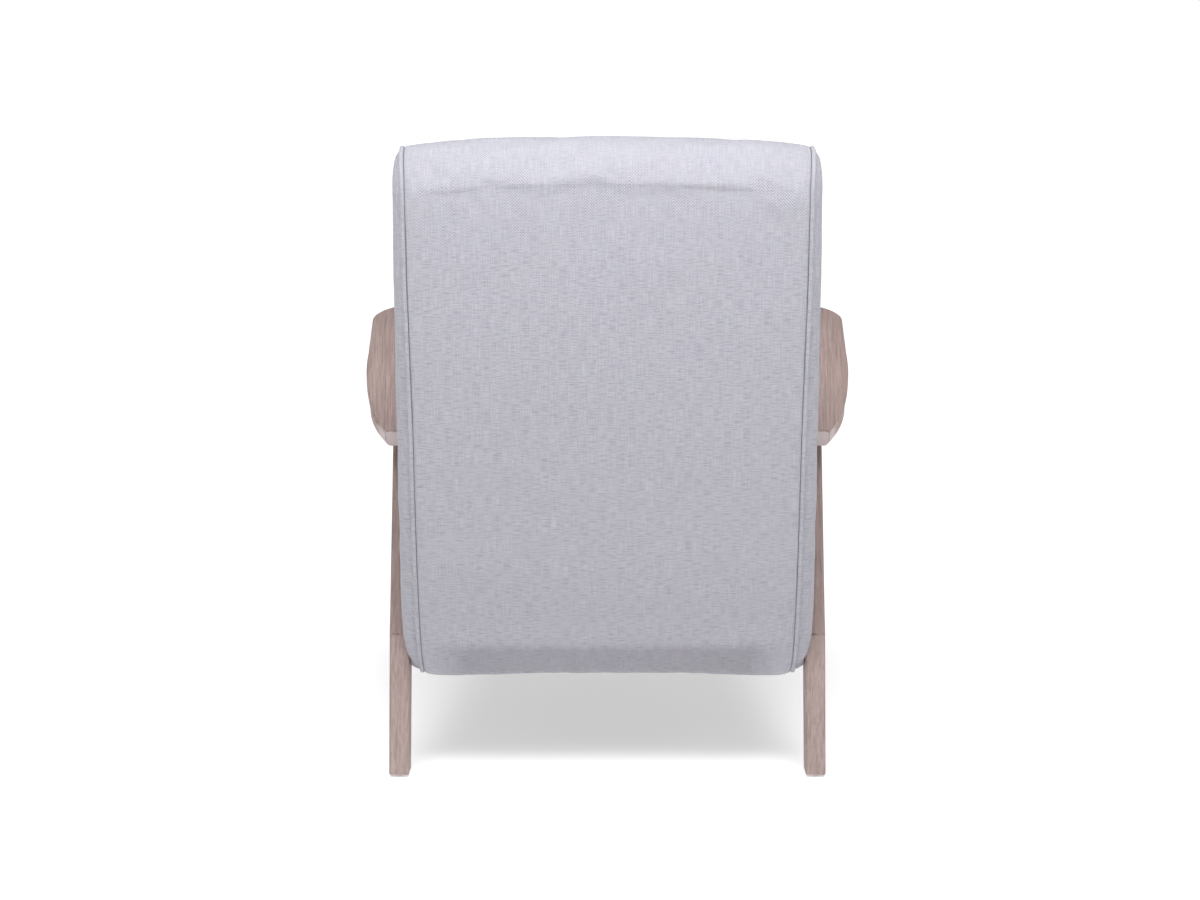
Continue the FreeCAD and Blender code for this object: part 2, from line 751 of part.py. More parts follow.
# ---- upholstery ----------------------------------------------------------------------------------
def inner_back_line(chair, inset=0.0):
    """Front of the back from the seat up to the roll, slightly crowned."""
    low = (chair.size("seat_rear") + inset, chair.size("seat_rear_top"))
    high = (chair.size("roll_centre") - chair.size("roll_radius") + inset, chair.size("roll_height"))
    return [low, (bowed(low, high, -FRONT_BOW), high)]


def roll_arc(chair, shrink=0.0):
    """Front to rear over the roll."""
    y, z, r = chair.size("roll_centre"), chair.size("roll_height"), chair.size("roll_radius") - shrink
    return [(y - r, z), ((y, z + r), (y + r, z))]


def make_outer_back(chair):
    """Stretched back cover with its thin padding, turned under the seat's rear rail."""
    outer = chair.rear_curve()
    inner = reverse_path(chair.rear_curve(chair.size("skin_thick")))
    path = outer + inner
    body = cross_body(chair, "outer_back_panel", path, "Dimensions.face_half_width")
    return chair.add(body, "outer_back_panel")


def make_roll(chair):
    """Padded roll over the top rail."""
    centre, gap = chair.size("roll_centre"), chair.size("gap")
    half = chair.size("top_rail_deep") / 2 + gap
    base = chair.size("roll_height") + gap
    notch = chair.size("post_top") + chair.size("top_rail_tall") + gap
    radius = chair.size("roll_radius")
    path = [(centre - radius, base), ((centre, base + radius - gap), (centre + radius, base)),
            (centre + half, base), (centre + half, notch), (centre - half, notch), (centre - half, base)]
    return chair.add(cross_body(chair, "back_roll", path, "Dimensions.face_half_width"), "back_roll")


def make_inner_back(chair):
    """Foam pad between the webbing and the front cover."""
    front = inner_back_line(chair)
    deep = chair.size("post_deep") + chair.size("strap_thick") + 2 * chair.size("gap")
    high, low = chair.size("roll_height"), chair.size("seat_rear_top")
    path = front + [(chair.post_line(high, deep + chair.size("skin_thick")), high),
                    (chair.post_line(low, deep), low)]
    body = cross_body(chair, "inner_back_pad", path, "Dimensions.face_half_width")
    return chair.add(body, "inner_back_pad")


def make_seat(chair):
    """Seat pad over the springs, with a rounded nose at the front."""
    nose = chair.size("seat_nose_round")
    rear_top = chair.size("seat_rear_top") - chair.size("gap")
    clearance = chair.size("strap_thick") * 2
    front, rear = chair.size("seat_front"), chair.post_line(rear_top, chair.size("post_deep") + clearance)
    top_front = chair.seat_top(front + nose)
    bottom = chair.seat_top(front) - chair.size("seat_pad_deep")
    corner = nose * (1 - math.cos(math.radians(45)))
    path = [(front, bottom), (front, top_front - nose),
            ((front + corner, top_front - corner), (front + nose, top_front)),
            (chair.seat_crest(), (chair.size("seat_rear"), rear_top)),
            (rear, rear_top), (rear, chair.size("seat_pad_rear_low"))]
    return chair.add(cross_body(chair, "seat_pad", path, "Dimensions.face_half_width"), "seat_pad")


def make_front_panel(chair):
    """Padded front of the seat below the pad's nose."""
    front, thick = chair.size("seat_front"), chair.size("skin_thick")
    top = chair.seat_top(front) - chair.size("seat_pad_deep") - chair.size("gap")
    path = [(front, chair.underside(front)), (front + thick, chair.underside(front + thick)),
            (front + thick, top), (front, top)]
    body = cross_body(chair, "seat_front_panel", path, "Dimensions.face_half_width")
    return chair.add(body, "seat_front_panel")


def back_side_outline(chair, inset=0.0):
    """Side view of the back above the seat."""
    level = chair.size("seat_rear_top") + inset / 2
    rise = inner_back_line(chair, inset)
    rise[0] = (rise[0][0], level)
    arc = roll_arc(chair, inset)[1:]
    crown = (chair.size("roll_centre") + chair.size("roll_radius") - inset, chair.size("roll_height"))
    foot = (chair.size("waist_back") - inset, level)
    fall = (bowed(crown, foot, -WAIST_BOW), foot)
    return rise + arc + [fall]


def seat_side_outline(chair, inset=0.0):
    """Side view of the seat box below the level where the back starts."""
    front, nose = chair.size("seat_front") + inset, chair.size("seat_nose_round")
    level = chair.size("seat_rear_top") - chair.size("gap") - inset / 2
    top_front = chair.seat_top(front + nose) - inset
    corner = nose * (1 - math.cos(math.radians(45)))
    rear_low = (chair.size("underside_rear") - inset, chair.size("underside_rear_low") + inset)
    tuck = (chair.size("tuck_back") - inset, chair.size("tuck_height"))
    hip = (chair.size("hip_back") - inset, chair.size("hip_height"))
    return [
        (front, chair.underside(front, inset)), rear_low,
        (bowed(rear_low, tuck, TUCK_BOW), tuck), (bowed(tuck, hip, HIP_BOW), hip),
        (chair.size("waist_back") - inset, level), (chair.size("seat_rear"), level),
        (chair.seat_crest(inset), (front + nose, top_front)),
        ((front + corner, top_front - corner), (front, top_front - nose)),
    ]


def make_sides(chair):
    """Thin boards inset behind the piping, and the padded side covers over them."""
    seat_bores = [(place, "bolt_radius") for place in bolt_places(chair)]
    parts = (("back", back_side_outline, ()), ("seat", seat_side_outline, seat_bores))
    for name, side in LEFT_RIGHT:
        for part, outline, bores in parts:
            label = f"{part}_side_board_{name}"
            path = outline(chair, chair.size("side_board_inset"))
            board = side_body(chair, label, side, path, "Dimensions.side_board_inner",
                              "Dimensions.side_board_thick", bores)
            chair.add(board, label)
            label = f"{part}_side_panel_{name}"
            panel = side_body(chair, label, side, outline(chair), "Dimensions.side_pad_inner",
                              "Dimensions.side_pad_thick", bores)
            chair.add(panel, label)


def make_dust_cover(chair):
    """Thin cloth stretched under the seat frame."""
    front = seat_rail_outline(chair)[0][0]
    rear = chair.size("underside_rear") - chair.size("skin_thick") - 2 * chair.size("gap")
    low = chair.size("cover_lift")
    high = low + chair.size("cover_thick")
    path = [(front, chair.underside(front, low)), (rear, chair.underside(rear, low)),
            (rear, chair.underside(rear, high)), (front, chair.underside(front, high))]
    return chair.add(cross_body(chair, "dust_cover", path, "Dimensions.face_half_width"), "dust_cover")


def piping_paths(chair):
    """Side-view runs of the piping: one round the back, one over the seat and down its front."""
    back = chair.rear_curve() + reverse_path(roll_arc(chair))[1:] + reverse_path(inner_back_line(chair))[1:]
    top_curve, nose_curve = seat_side_outline(chair)[-2:]
    start = (chair.size("seat_rear") - chair.size("roll_radius") / 8, chair.size("seat_rear_top"))
    front = chair.size("seat_front")
    end = (front, chair.underside(front, chair.size("cover_lift")))
    return {"back": back, "seat": [start, (chair.seat_crest(), top_curve[1]), nose_curve, end]}


def swept_cord(path, radius):
    """Round cord along a side-view path, still lying in the plane of its sketch."""
    wire = Part.Wire([curve.toShape() for curve in path_edges(path)])
    first = wire.Edges[0]
    start, along = first.valueAt(first.FirstParameter), first.tangentAt(first.FirstParameter)
    section = Part.Wire(Part.makeCircle(radius, start, along))
    return wire.makePipeShell([section], True, False, 2)


def make_piping(chair):
    """Corded edges along both sides of the body."""
    turn = FreeCAD.Rotation(V(0, 1, 0), V(0, 0, 1), V(1, 0, 0), "ZXY")
    for part, path in piping_paths(chair).items():
        for name, side in LEFT_RIGHT:
            label = f"{part}_piping_{name}"
            piece = chair.doc.addObject("Part::Feature", label)
            piece.Shape = swept_cord(path, chair.size("piping_radius"))
            piece.Placement = FreeCAD.Placement(V(side * chair.size("piping_centre"), 0, 0), turn)
            chair.add(piece, label)


def check_and_write(chair):
    """Every object computed, every node a valid solid; then one STEP file for each node."""
    for piece in chair.doc.Objects:
        bad = [s for s in piece.State if s in ("Invalid", "Error")]
        if bad:
            raise RuntimeError(f"{piece.Label}: {bad}")
    os.makedirs("parts", exist_ok=True)
    for node in chair.nodes:
        shape = node.Shape
        if shape.isNull() or not shape.isValid() or not shape.Solids:
            raise RuntimeError(f"{node.Label}: no valid solid")
    for node in chair.nodes:
        node.Shape.exportStep(f"parts/{node.Label}.step")
        box = node.Shape.BoundBox
        print(f"{node.Label:24} {len(node.Shape.Solids):3} solids  x {box.XMin:7.1f} {box.XMax:7.1f}"
              f"  y {box.YMin:7.1f} {box.YMax:7.1f}  z {box.ZMin:6.1f} {box.ZMax:6.1f}")


def main():
    chair = Chair()
    arm_dowels = make_arm_dowels(chair)
    rail_dowels = make_rail_dowels(chair)
    for name, side in LEFT_RIGHT:
        make_arm(chair, name, side, arm_dowels)
        make_side_rail(chair, name, side, rail_dowels)
        for end in ("rear", "front"):
            make_leg(chair, end, name, side, arm_dowels)
    make_glides(chair)
    make_bolts(chair)
    make_seat_frame(chair)
    make_back_frame(chair)
    make_springs(chair)
    make_webbing(chair)
    make_outer_back(chair)
    make_roll(chair)
    make_inner_back(chair)
    make_seat(chair)
    make_front_panel(chair)
    make_sides(chair)
    make_dust_cover(chair)
    make_piping(chair)
    chair.doc.recompute()
    check_and_write(chair)


main()
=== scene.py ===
"""Looks of the upholstered armchair: fabric covers, piping, limed ash, floor, light and camera.

Lengths below are in millimetres unless a name says otherwise; MM turns them into metres.
The chair faces -Y and the camera stands behind it, so it looks along -Y.
"""

import math

import bmesh
import bpy
import numpy as np
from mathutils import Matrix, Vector, geometry
from mathutils.bvhtree import BVHTree


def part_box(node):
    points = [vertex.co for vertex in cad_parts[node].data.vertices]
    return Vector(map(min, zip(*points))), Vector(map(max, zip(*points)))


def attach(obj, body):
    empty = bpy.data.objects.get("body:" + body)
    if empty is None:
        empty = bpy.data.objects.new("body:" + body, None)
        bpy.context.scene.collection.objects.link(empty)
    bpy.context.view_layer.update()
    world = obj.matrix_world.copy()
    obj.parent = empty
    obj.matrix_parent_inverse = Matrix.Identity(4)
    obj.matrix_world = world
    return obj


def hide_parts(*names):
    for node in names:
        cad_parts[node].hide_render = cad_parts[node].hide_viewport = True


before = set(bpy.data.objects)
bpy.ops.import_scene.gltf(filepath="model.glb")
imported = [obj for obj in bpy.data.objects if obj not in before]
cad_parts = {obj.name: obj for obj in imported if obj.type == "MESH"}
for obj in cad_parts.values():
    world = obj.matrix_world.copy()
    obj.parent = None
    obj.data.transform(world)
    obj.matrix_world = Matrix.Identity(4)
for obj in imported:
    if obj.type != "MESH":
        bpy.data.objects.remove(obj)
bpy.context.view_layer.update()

MM = 0.001
SIDES = (("left", 1.0), ("right", -1.0))

# Side profile of the upholstered body: (y, z) pairs
UNDER_REAR = (286.0, 137.0)
TUCK = (326.0, 192.0)
HIP = (351.0, 330.0)
ROLL_CENTRE = (314.0, 800.0)
ROLL_RADIUS = 60.0
SEAT_REAR = (178.0, 364.0)
SEAT_CREST = (-70.0, 392.0)
SEAT_FRONT_TOP = (-303.0, 400.0)
SEAT_FRONT = -335.0
SEAT_FRONT_LOW = 246.0
UNDERSIDE_SLOPE = math.tan(math.radians(10.1))

# Where the back's cloth starts under the seat, and where both cloths end down in the crevice
UNDER_START = 240.0
CREVICE_BACK = (SEAT_REAR[0] + 12.0, SEAT_REAR[1] - 22.0)
CREVICE_SEAT = (SEAT_REAR[0] + 14.0, SEAT_REAR[1] - 16.0)

# Covers, piping and the fold under the roll
COVER_THICK = 3.0
COVER_COLUMNS = 85
SEAT_HALF_WIDTH = 252.5
SIDE_BULGE = 277.0
SIDE_PRESSED = 267.4
SIDE_SPACING = 6.5
SIDE_ROUNDING = 30.0
PIPING_RADIUS = 3.3
PIPING_GAP = 0.2
PIPING_RISE = 0.6
PIPING_SEGMENTS = 14
ROLL_SETTLE = 3.6
CREASE_HEIGHT = 797.0
CREASE_DROP = 17.0
CREASE_ZONE = 18.0
SEAT_WEAVE_START = 150.0
DUST_HALF_WIDTH = 249.0
DUST_SAG = 7.0

# Cloth runs
CLOTH_FRAMES = 20

# Rows of the covers: profiles are rounded on a fine step, then every third point is kept
FINE_STEP = 2.0
ROUNDING = 14
ROW_STRIDE = 3

# Metres, in the materials: the rear end of the arms along their slope, and the rear legs' kink
ARM_END = -0.1574
KINK_HEIGHT = 0.190
ARM_TINT = (0.90, 0.88, 0.90)
LEG_TINT = (0.68, 0.665, 0.675)
LEG_TINT_LOW = (0.75, 0.75, 0.77)
RAIL_TINT = (0.80, 0.78, 0.79)


# ---- profile curves ------------------------------------------------------------------------------
def arc_through(first, middle, last, count=24):
    """Points on the circle through three points, the first one left out."""
    a, b, c = (np.array(p, float) for p in (first, middle, last))
    d = 2 * (a[0] * (b[1] - c[1]) + b[0] * (c[1] - a[1]) + c[0] * (a[1] - b[1]))
    sq = [p @ p for p in (a, b, c)]
    cx = (sq[0] * (b[1] - c[1]) + sq[1] * (c[1] - a[1]) + sq[2] * (a[1] - b[1])) / d
    cy = (sq[0] * (c[0] - b[0]) + sq[1] * (a[0] - c[0]) + sq[2] * (b[0] - a[0])) / d
    centre = np.array((cx, cy))
    angles = [math.atan2(*(p - centre)[::-1]) for p in (a, b, c)]
    turn = (angles[2] - angles[0]) % (2 * math.pi)
    if (angles[1] - angles[0]) % (2 * math.pi) > turn:
        turn -= 2 * math.pi
    radius = np.linalg.norm(a - centre)
    steps = angles[0] + turn * np.linspace(0, 1, count + 1)[1:]
    return [tuple(centre + radius * np.array((math.cos(t), math.sin(t)))) for t in steps]


def bowed(start, end, bow):
    """Middle of a chord, moved by bow to the right of its direction."""
    dx, dy = end[0] - start[0], end[1] - start[1]
    length = math.hypot(dx, dy)
    return ((start[0] + end[0]) / 2 + bow * dy / length, (start[1] + end[1]) / 2 - bow * dx / length)


class Path:
    """A smooth open curve in the side view, with its outward normals and arc length."""

    def __init__(self, points, detailed=None):
        fine = self.resample(np.array(points, float), FINE_STEP)
        for _ in range(ROUNDING):
            fine[1:-1] = (fine[:-2] + 2 * fine[1:-1] + fine[2:]) / 4
        keep = np.arange(len(fine)) % ROW_STRIDE == 0
        if detailed:
            keep |= detailed(fine[:, 0], fine[:, 1])
        keep[-1] = True
        self.points = fine[keep]
        gaps = np.linalg.norm(np.diff(self.points, axis=0), axis=1)
        self.length = np.concatenate(([0.0], np.cumsum(gaps)))
        along = np.gradient(self.points, axis=0)
        along /= np.linalg.norm(along, axis=1)[:, None]
        self.normal = np.stack((along[:, 1], -along[:, 0]), axis=1)

    @staticmethod
    def resample(points, step):
        gaps = np.linalg.norm(np.diff(points, axis=0), axis=1)
        run = np.concatenate(([0.0], np.cumsum(gaps)))
        places = np.linspace(0, run[-1], int(round(run[-1] / step)) + 1)
        return np.stack([np.interp(places, run, points[:, k]) for k in (0, 1)], axis=1)


def back_path():
    """From under the seat, up the rear of the back, over the roll and down into the seat crevice."""
    start = (UNDER_START, UNDER_REAR[1] + (UNDER_REAR[0] - UNDER_START) * UNDERSIDE_SLOPE + 1.0)
    rear_top = (ROLL_CENTRE[0] + ROLL_RADIUS, ROLL_CENTRE[1])
    front_top = (ROLL_CENTRE[0] - ROLL_RADIUS, ROLL_CENTRE[1])
    points = [start, UNDER_REAR]
    points += arc_through(UNDER_REAR, bowed(UNDER_REAR, TUCK, 2.5), TUCK)
    points += arc_through(TUCK, bowed(TUCK, HIP, 4.5), HIP)
    points += arc_through(HIP, bowed(HIP, rear_top, 3.5), rear_top, 60)
    points += arc_through(rear_top, (ROLL_CENTRE[0], ROLL_CENTRE[1] + ROLL_RADIUS), front_top, 40)
    points += arc_through(front_top, bowed(front_top, SEAT_REAR, 6.0), SEAT_REAR, 60)
    points += [CREVICE_BACK]
    return Path(points, lambda y, z: (y > ROLL_CENTRE[0]) & (np.abs(z - CREASE_HEIGHT) < CREASE_ZONE))


def seat_path():
    """From the crevice over the seat, round its front edge and under the front rail."""
    points = [CREVICE_SEAT, (SEAT_REAR[0] + 2.0, SEAT_REAR[1] - 1.0)]
    points += arc_through(points[-1], SEAT_CREST, SEAT_FRONT_TOP, 50)
    points += arc_through(SEAT_FRONT_TOP, (SEAT_FRONT + 9.0, SEAT_FRONT_TOP[1] - 9.0),
                          (SEAT_FRONT, SEAT_FRONT_TOP[1] - 34.0))
    points += [(SEAT_FRONT - 2.0, 320.0), (SEAT_FRONT, SEAT_FRONT_LOW)]
    points += [(SEAT_FRONT + 40.0, SEAT_FRONT_LOW - 40.0 * UNDERSIDE_SLOPE + 1.0)]
    path = Path(points)
    path.normal = -path.normal
    return path


def smooth_step(value, low, high):
    """0 below low, 1 above high, an S curve between."""
    share = np.clip((value - low) / (high - low), 0.0, 1.0)
    return share * share * (3 - 2 * share)


# ---- mesh helpers --------------------------------------------------------------------------------
def new_object(name, vertices, faces, uvs=None, smooth=True):
    """Mesh object from arrays in metres; uvs holds one pair for each vertex."""
    mesh = bpy.data.meshes.new(name)
    mesh.from_pydata([tuple(v) for v in vertices], [], [tuple(f) for f in faces])
    if uvs is not None:
        layer = mesh.uv_layers.new(name="weave")
        index = np.array([loop.vertex_index for loop in mesh.loops])
        layer.data.foreach_set("uv", np.asarray(uvs, np.float32)[index].ravel())
    mesh.polygons.foreach_set("use_smooth", [smooth] * len(mesh.polygons))
    mesh.update()
    obj = bpy.data.objects.new(name, mesh)
    bpy.context.scene.collection.objects.link(obj)
    return obj


def grid_faces(rows, columns):
    """Four-sided faces of a grid whose vertices are stored row by row."""
    index = np.arange(rows * columns).reshape(rows, columns)
    corners = (index[:-1, :-1], index[:-1, 1:], index[1:, 1:], index[1:, :-1])
    return np.stack([c.ravel() for c in corners], axis=1)


def apply_modifiers(obj):
    """The evaluated mesh takes the place of the mesh and its modifiers."""
    depsgraph = bpy.context.evaluated_depsgraph_get()
    mesh = bpy.data.meshes.new_from_object(obj.evaluated_get(depsgraph))
    obj.modifiers.clear()
    obj.data = mesh


def vertex_array(mesh):
    """Vertex positions as rows of three."""
    co = np.zeros(len(mesh.vertices) * 3)
    mesh.vertices.foreach_get("co", co)
    return co.reshape(-1, 3)


def swell(obj, pinned, pressure, grow, cap):
    """Cloth run: the cover fills out against its pinned seams, and no point moves beyond the cap."""
    rest = vertex_array(obj.data)
    group = obj.vertex_groups.new(name="seam")
    group.add([int(i) for i in np.flatnonzero(pinned)], 1.0, "REPLACE")
    cloth = obj.modifiers.new("cloth", "CLOTH")
    settings = cloth.settings
    settings.quality = 6
    settings.mass = 0.3
    settings.tension_stiffness = 25
    settings.compression_stiffness = 18
    settings.shear_stiffness = 8
    settings.bending_stiffness = 1.2
    settings.air_damping = 4
    settings.use_pressure = True
    settings.uniform_pressure_force = pressure
    settings.shrink_min = -grow
    settings.vertex_group_mass = "seam"
    settings.effector_weights.gravity = 0
    cloth.collision_settings.use_collision = False
    cloth.point_cache.frame_start = 1
    cloth.point_cache.frame_end = CLOTH_FRAMES
    scene = bpy.context.scene
    for number in range(1, CLOTH_FRAMES + 1):
        scene.frame_set(number)
    apply_modifiers(obj)
    moved = vertex_array(obj.data) - rest
    size = np.linalg.norm(moved, axis=1, keepdims=True)
    limited = moved * np.minimum(1.0, cap * MM / np.maximum(size, 1e-9))
    obj.data.vertices.foreach_set("co", (rest + limited).ravel())
    obj.vertex_groups.clear()
    obj.data.update()
    scene.frame_set(1)


def finish_cover(obj, material):
    """Thickness towards the inside, one subdivision, and the cloth's material."""
    solid = obj.modifiers.new("thickness", "SOLIDIFY")
    solid.thickness = COVER_THICK * MM
    solid.offset = -1
    divide = obj.modifiers.new("smooth", "SUBSURF")
    divide.levels = divide.render_levels = 1
    apply_modifiers(obj)
    obj.data.materials.clear()
    obj.data.materials.append(material)
    obj.data.polygons.foreach_set("use_smooth", [True] * len(obj.data.polygons))


# ---- upholstery ----------------------------------------------------------------------------------
def undulation(x, run, seed):
    """Slow unevenness of stuffed cloth, about half a millimetre."""
    waves, wavelength, height = 14, 90.0, 1.6
    total = np.zeros_like(x)
    rng = np.random.default_rng(seed)
    for _ in range(waves):
        fx, fv = rng.normal(0, 1 / wavelength, 2)
        phase = rng.uniform(0, 2 * math.pi)
        total += np.sin(2 * math.pi * (fx * x + fv * run) + phase)
    return total / waves * height


def back_half_width(z, on_front):
    """Seam distance from the centre: widest at the top roll, narrowest at the turned-under edge."""
    heights = [137.0, 165.0, 230.0, 350.0, 470.0, 565.0, 670.0, 790.0, 850.0]
    widths = [247.5, 249.0, 250.5, 252.0, 253.0, 255.0, 257.5, 258.5, 261.5]
    rear = np.interp(z, heights, widths)
    return np.where(on_front, np.interp(z, [364.0, 800.0, 850.0], [254.0, 258.5, 261.5]), rear)


def back_offset(u, z, on_front):
    """How far the cover stands off the profile: crowned between its seams, rolled in at the edges."""
    edge = np.abs(u)
    on_roll = smooth_step(z, 770.0, 835.0)
    low = 1 - smooth_step(z, 150.0, 215.0)
    crown = 2.0 + 7.0 * on_roll + np.where(on_front, 5.0 * (1 - on_roll), 0.0)
    lip = np.where(on_front, 6.0, 5.0 - on_roll)
    offset = -crown * edge**2 * (1 - low) - lip * edge ** (14 - 6 * on_roll) - ROLL_SETTLE * on_roll
    sag = low * (7.5 * edge**3 - 3.0 * edge**24)
    return offset + np.where(on_front, 0.0, sag)


def crease(u, z, on_front):
    """Thin fold across the rear: the roll hangs over the flat back a little, less towards its ends."""
    above = z - (CREASE_HEIGHT - CREASE_DROP * np.abs(u) ** 2.5)
    fade = 1 - smooth_step(np.abs(u), 0.72, 0.95)
    overhang = 0.75 * smooth_step(above, 0.0, 3.5) * np.exp(-((np.maximum(above, 0) / 26.0) ** 2))
    pinch = 0.2 * np.exp(-((above / 4.0) ** 2))
    return np.where(on_front, 0.0, (overhang - pinch) * fade)


def cover_grid(path, half_width, offset, weave_start=0.0):
    """Rows along the path, columns from seam to seam; returns points and weave coordinates."""
    u = np.linspace(-1, 1, COVER_COLUMNS)[None, :]
    width = half_width[:, None]
    x = u * width
    y = path.points[:, 0:1] + path.normal[:, 0:1] * offset
    z = path.points[:, 1:2] + path.normal[:, 1:2] * offset
    x = np.broadcast_to(x, y.shape)
    run = np.broadcast_to(path.length[:, None] + weave_start, y.shape)
    points = np.stack((x, y, z), axis=-1).reshape(-1, 3) * MM
    uvs = np.stack((x, run), axis=-1).reshape(-1, 2) * MM
    return points, uvs


def sewn_ring(rows):
    """True on the outer ring of a cover's grid, where the cloth is sewn down."""
    ring = np.ones((rows, COVER_COLUMNS), bool)
    ring[1:-1, 1:-1] = False
    return ring.ravel()


def seam_edges(points):
    """The cover's two side edges, by the side of the chair."""
    grid = points.reshape(-1, COVER_COLUMNS, 3)
    return {"left": grid[:, -1, :], "right": grid[:, 0, :]}


def make_back_cover(material):
    """One cloth from under the seat, up the rear, over the roll and down the front."""
    path = back_path()
    z = path.points[:, 1]
    on_front = np.arange(len(z)) > int(np.argmax(z))
    half = back_half_width(z, on_front)
    u = np.linspace(-1, 1, COVER_COLUMNS)[None, :]
    height, front = z[:, None], on_front[:, None]
    offset = back_offset(u, height, front) + crease(u, height, front)
    inside = (1 - np.abs(u) ** 10) * (1 - 0.6 * smooth_step(height, 770.0, 835.0))
    offset = offset + undulation(u * half[:, None], path.length[:, None], 3) * inside
    points, uvs = cover_grid(path, half, offset)
    obj = new_object("back_cover", points, grid_faces(len(z), COVER_COLUMNS), uvs)
    swell(obj, sewn_ring(len(z)), pressure=0.5, grow=0.0015, cap=1.6)
    finish_cover(obj, material)
    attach(obj, "root")
    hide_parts("outer_back_panel", "back_roll", "inner_back_pad")
    return seam_edges(points)


def make_seat_cover(material):
    """One cloth from the crevice over the crowned seat and down its front."""
    path = seat_path()
    z = path.points[:, 1]
    half = np.full(len(z), SEAT_HALF_WIDTH)
    u = np.linspace(-1, 1, COVER_COLUMNS)[None, :]
    edge = np.abs(u)
    on_top = smooth_step(z, 330.0, 392.0)[:, None]
    offset = -5.0 * edge**12 + on_top * 6.0 * (1 - edge**2.4)
    low = (1 - smooth_step(z, 246.0, 262.0))[:, None]
    offset = offset * (1 - low) + undulation(u * half[:, None], path.length[:, None], 8) * (1 - edge**10)
    points, uvs = cover_grid(path, half, offset, SEAT_WEAVE_START)
    faces = grid_faces(len(z), COVER_COLUMNS)[:, ::-1]
    obj = new_object("seat_cover", points, faces, uvs)
    swell(obj, sewn_ring(len(z)), pressure=0.6, grow=0.002, cap=2.5)
    finish_cover(obj, material)
    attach(obj, "root")
    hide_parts("seat_pad", "seat_front_panel")
    return seam_edges(points)


def press_map():
    """Side-view grid that tells where the wooden side frame lies against the upholstery."""
    step = 4.0
    start_x, reach = 0.2, 0.075
    ys, zs = np.arange(-400, 400, step), np.arange(0, 900, step)
    vertices, faces, base = [], [], 0
    for node in ("arm_left", "rear_leg_left", "front_leg_left", "side_rail_left"):
        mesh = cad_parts[node].data
        vertices += [v.co.copy() for v in mesh.vertices]
        faces += [[base + i for i in p.vertices] for p in mesh.polygons]
        base += len(mesh.vertices)
    tree = BVHTree.FromPolygons(vertices, faces)
    mask = np.zeros((len(ys), len(zs)))
    for i, y in enumerate(ys):
        for j, z in enumerate(zs):
            hit = tree.ray_cast(Vector((start_x, y * MM, z * MM)), Vector((1, 0, 0)), reach)
            mask[i, j] = hit[0] is not None
    for _ in range(5):
        mask[1:-1] = (mask[:-2] + 2 * mask[1:-1] + mask[2:]) / 4
        mask[:, 1:-1] = (mask[:, :-2] + 2 * mask[:, 1:-1] + mask[:, 2:]) / 4
    return ys, zs, mask


def pressed(y, z, grid):
    """1 where the frame bears on the cover, 0 away from it."""
    ys, zs, mask = grid
    i = np.clip((y - ys[0]) / (ys[1] - ys[0]), 0, len(ys) - 2)
    j = np.clip((z - zs[0]) / (zs[1] - zs[0]), 0, len(zs) - 2)
    a, b = i.astype(int), j.astype(int)
    s, t = i - a, j - b
    low = mask[a, b] * (1 - t) + mask[a, b + 1] * t
    high = mask[a + 1, b] * (1 - t) + mask[a + 1, b + 1] * t
    return np.clip(2 * (low * (1 - s) + high * s), 0, 1)


def side_outline(back_edge, seat_edge):
    """Closed outline of the side, made of both seams and the straight underside."""
    back, seat = back_edge / MM, seat_edge / MM
    crevice = int(np.argmin(np.hypot(back[:, 1] - SEAT_REAR[0], back[:, 2] - SEAT_REAR[1])))
    start = int(np.argmin(np.hypot(seat[:, 1] - SEAT_REAR[0], seat[:, 2] - SEAT_REAR[1])))
    low = np.flatnonzero(seat[:, 2] < SEAT_FRONT_LOW + 1.0)[0]
    rear = int(np.argmax(back[:, 1] > UNDER_REAR[0] - 6.0))
    loop = np.concatenate((back[rear:crevice], seat[start + 2:low + 1]))
    first, last = loop[0], loop[-1]
    count = int(abs(first[1] - last[1]) / 6.0)
    share = np.linspace(0, 1, count + 1)[1:-1, None]
    return np.concatenate((loop, last + (first - last) * share))


def make_side_cover(name, sign, outline, material, grid):
    """Boxed side: it springs out from the piping and lies flat where the wood bears on it."""
    ring = outline[:, 1:3]
    step = SIDE_SPACING
    low, high = ring.min(0), ring.max(0)
    gy, gz = np.meshgrid(np.arange(low[0], high[0], step), np.arange(low[1], high[1], step))
    inner = np.stack((gy.ravel(), gz.ravel()), axis=1)
    inner[:, 0] += ((inner[:, 1] - low[1]) / step).astype(int) % 2 * step / 2
    near = np.sqrt(((inner[:, None, :] - ring[None]) ** 2).sum(-1)).min(1)
    inner = inner[near > step * 0.6]
    flat = np.concatenate((ring, inner))
    count = len(ring)
    edges = [(i, (i + 1) % count) for i in range(count)]
    result = geometry.delaunay_2d_cdt([Vector(p) for p in flat], edges, [], 1, 1e-4)
    verts = np.array([tuple(v) for v in result[0]])
    distance = np.sqrt(((verts[:, None, :] - ring[None]) ** 2).sum(-1))
    depth = np.minimum(distance.min(1) / SIDE_ROUNDING, 1.0)
    seam = np.abs(outline[distance.argmin(1), 0]) + 1.5 * PIPING_RADIUS
    spread = np.sqrt(1 - (1 - depth) ** 2)
    x = seam + (SIDE_BULGE - seam) * spread
    x += undulation(verts[:, 0], verts[:, 1], 21) * spread
    free = 1 - pressed(verts[:, 0], verts[:, 1], grid)
    x = np.minimum(x, SIDE_PRESSED + (SIDE_BULGE + 2 - SIDE_PRESSED) * free)
    points = np.stack((sign * x, verts[:, 0], verts[:, 1]), axis=1) * MM
    faces = [f if sign > 0 else f[::-1] for f in result[2]]
    obj = new_object(f"side_cover_{name}", points, faces, verts * MM)
    finish_cover(obj, material)
    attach(obj, "root")
    nodes = [f"{part}_side_{kind}_{name}" for part in ("back", "seat") for kind in ("board", "panel")]
    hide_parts(*nodes)


